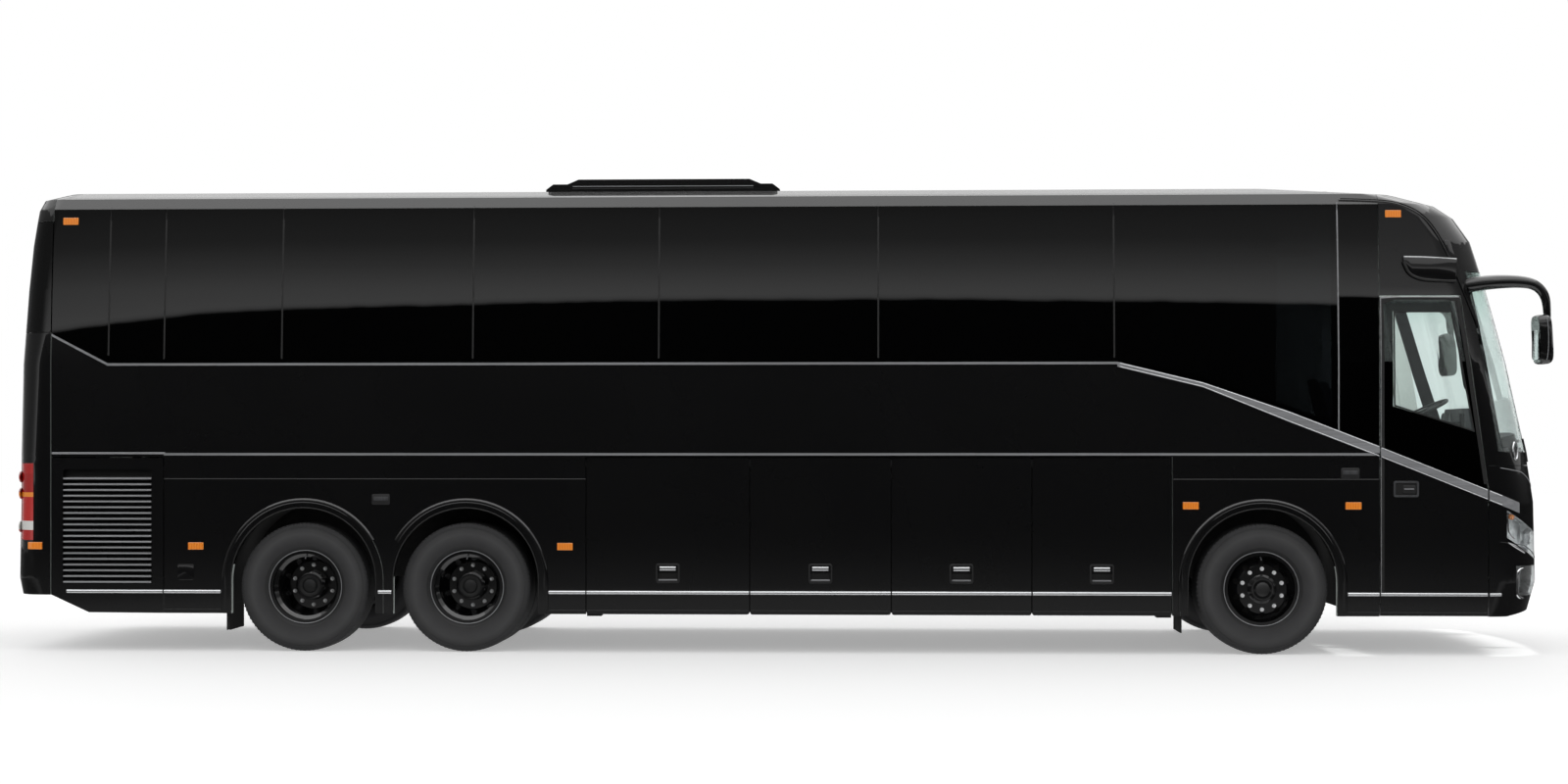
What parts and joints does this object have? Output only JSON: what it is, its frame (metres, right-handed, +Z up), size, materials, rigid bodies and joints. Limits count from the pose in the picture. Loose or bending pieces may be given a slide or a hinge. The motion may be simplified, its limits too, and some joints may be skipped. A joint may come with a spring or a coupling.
{
  "type": "coach bus",
  "caption": "High-floor touring coach with a side entry door, top-hinged luggage doors, rear engine lid, steered front wheels and a roof air unit.",
  "frame": {"origin": "on the ground under the middle of the coach's bounding box", "axes": "+X towards the front, +Y towards the coach's left side, +Z up; the entry door is on the right, at -Y"},
  "size_m": [12.8428, 3.09, 3.9798],
  "materials": {
    "black_paint": "gloss",
    "tinted_glass": "gloss",
    "clear_glass": "gloss",
    "lamp_lens": "gloss",
    "red_lens": "gloss",
    "amber_lens": "gloss",
    "silver_trim": "satin",
    "black_plastic": "matte",
    "floor_sheet": "matte",
    "frame_steel": "satin",
    "engine_iron": "matte",
    "seat_fabric": "matte",
    "tyre_rubber": "matte",
    "rim_steel": "gloss"
  },
  "bodies": {
    "coach": {"cabin_floor": "floor_sheet", "dashboard": "black_plastic", "drive_axle": "frame_steel", "driver_window": "clear_glass", "engine": "engine_iron", "front_axle": "frame_steel", "front_dome": "black_paint", "front_mask": "black_paint", "headlamps": "lamp_lens", "luggage_racks": "black_plastic", "marker_lamps": "amber_lens", "mirror_left": "black_paint", "mirror_right": "black_paint", "rear_panel": "black_paint", "rear_window": "tinted_glass", "roof": "black_paint", "roof_air_unit": "black_paint", "seats": "seat_fabric", "side_mouldings": "silver_trim", "side_wall_left": "black_paint", "side_wall_right": "black_paint", "side_windows_left": "tinted_glass", "side_windows_right": "tinted_glass", "steering_wheel": "black_plastic", "tag_axle": "frame_steel", "tail_lamps": "red_lens", "underframe": "frame_steel", "wheel_housings": "black_plastic", "windscreen": "clear_glass", "wipers": "black_plastic"},
    "wheel_front_right": {"tyre_front_right": "tyre_rubber", "rim_front_right": "rim_steel"},
    "wheel_front_left": {"tyre_front_left": "tyre_rubber", "rim_front_left": "rim_steel"},
    "wheel_drive_right": {"tyre_drive_right": "tyre_rubber", "rim_drive_right": "rim_steel"},
    "wheel_drive_left": {"tyre_drive_left": "tyre_rubber", "rim_drive_left": "rim_steel"},
    "wheel_tag_right": {"tyre_tag_right": "tyre_rubber", "rim_tag_right": "rim_steel"},
    "wheel_tag_left": {"tyre_tag_left": "tyre_rubber", "rim_tag_left": "rim_steel"},
    "knuckle_right": {"knuckle_right": "frame_steel"},
    "knuckle_left": {"knuckle_left": "frame_steel"},
    "door_arms": {"entry_door_arms": "frame_steel"},
    "door_leaf": {"entry_door": "black_paint", "entry_door_glass": "clear_glass"},
    "engine_lid": {"engine_lid": "black_paint"},
    "service_door": {"service_door": "black_paint"},
    "luggage_door_right_1": {"luggage_door_right_1": "black_paint"},
    "luggage_door_right_2": {"luggage_door_right_2": "black_paint"},
    "luggage_door_right_3": {"luggage_door_right_3": "black_paint"},
    "luggage_door_right_4": {"luggage_door_right_4": "black_paint"},
    "luggage_door_left_1": {"luggage_door_left_1": "black_paint"},
    "luggage_door_left_2": {"luggage_door_left_2": "black_paint"},
    "luggage_door_left_3": {"luggage_door_left_3": "black_paint"},
    "luggage_door_left_4": {"luggage_door_left_4": "black_paint"}
  },
  "joints": [
    {"name": "steer_left", "type": "hinge", "parent": "coach", "child": "knuckle_left", "pos_m": [4.025, 1.02, 0.538], "axis": [0, 0, 1], "range_deg": [-38, 38]},
    {"name": "steer_right", "type": "hinge", "parent": "coach", "child": "knuckle_right", "pos_m": [4.025, -1.02, 0.538], "axis": [0, 0, 1], "range_deg": [-38, 38]},
    {"name": "spin_front_left", "type": "hinge", "parent": "knuckle_left", "child": "wheel_front_left", "pos_m": [4.025, 1.1125, 0.538], "axis": [0, 1, 0], "continuous": true},
    {"name": "spin_front_right", "type": "hinge", "parent": "knuckle_right", "child": "wheel_front_right", "pos_m": [4.025, -1.1125, 0.538], "axis": [0, 1, 0], "continuous": true},
    {"name": "spin_drive_left", "type": "hinge", "parent": "coach", "child": "wheel_drive_left", "pos_m": [-2.545, 1.1125, 0.538], "axis": [0, 1, 0], "continuous": true},
    {"name": "spin_drive_right", "type": "hinge", "parent": "coach", "child": "wheel_drive_right", "pos_m": [-2.545, -1.1125, 0.538], "axis": [0, 1, 0], "continuous": true},
    {"name": "spin_tag_left", "type": "hinge", "parent": "coach", "child": "wheel_tag_left", "pos_m": [-3.905, 1.1125, 0.538], "axis": [0, 1, 0], "continuous": true},
    {"name": "spin_tag_right", "type": "hinge", "parent": "coach", "child": "wheel_tag_right", "pos_m": [-3.905, -1.1125, 0.538], "axis": [0, 1, 0], "continuous": true},
    {"name": "entry_arm_swing", "type": "hinge", "parent": "coach", "child": "door_arms", "pos_m": [5.678, -1.15, 1.3], "axis": [0, 0, 1], "range_deg": [0, 118]},
    {"name": "entry_leaf_swing", "type": "hinge", "parent": "door_arms", "child": "door_leaf", "pos_m": [5.178, -1.15, 1.3], "axis": [0, 0, -1], "range_deg": [0, 118]},
    {"name": "luggage_door_right_1_lift", "type": "hinge", "parent": "coach", "child": "luggage_door_right_1", "pos_m": [-0.86194, -1.3, 1.615], "axis": [-1, 0, 0], "range_deg": [0, 85]},
    {"name": "luggage_door_right_2_lift", "type": "hinge", "parent": "coach", "child": "luggage_door_right_2", "pos_m": [0.40155, -1.3, 1.615], "axis": [-1, 0, 0], "range_deg": [0, 85]},
    {"name": "luggage_door_right_3_lift", "type": "hinge", "parent": "coach", "child": "luggage_door_right_3", "pos_m": [1.5634, -1.3, 1.615], "axis": [-1, 0, 0], "range_deg": [0, 85]},
    {"name": "luggage_door_right_4_lift", "type": "hinge", "parent": "coach", "child": "luggage_door_right_4", "pos_m": [2.71392, -1.3, 1.615], "axis": [-1, 0, 0], "range_deg": [0, 85]},
    {"name": "luggage_door_left_1_lift", "type": "hinge", "parent": "coach", "child": "luggage_door_left_1", "pos_m": [-0.86194, 1.3, 1.615], "axis": [1, 0, 0], "range_deg": [0, 85]},
    {"name": "luggage_door_left_2_lift", "type": "hinge", "parent": "coach", "child": "luggage_door_left_2", "pos_m": [0.40155, 1.3, 1.615], "axis": [1, 0, 0], "range_deg": [0, 85]},
    {"name": "luggage_door_left_3_lift", "type": "hinge", "parent": "coach", "child": "luggage_door_left_3", "pos_m": [1.5634, 1.3, 1.615], "axis": [1, 0, 0], "range_deg": [0, 85]},
    {"name": "luggage_door_left_4_lift", "type": "hinge", "parent": "coach", "child": "luggage_door_left_4", "pos_m": [2.71392, 1.3, 1.615], "axis": [1, 0, 0], "range_deg": [0, 85]},
    {"name": "service_door_lift", "type": "hinge", "parent": "coach", "child": "service_door", "pos_m": [-5.56, -1.3, 1.615], "axis": [-1, 0, 0], "range_deg": [0, 85]},
    {"name": "engine_lid_lift", "type": "hinge", "parent": "coach", "child": "engine_lid", "pos_m": [-6.413, 0, 1.954], "axis": [0, 1, 0], "range_deg": [0, 75]}
  ],
  "couplings": [
    {"joint": "steer_right", "follows": "steer_left", "ratio": 1},
    {"joint": "entry_leaf_swing", "follows": "entry_arm_swing", "ratio": 1}
  ]
}
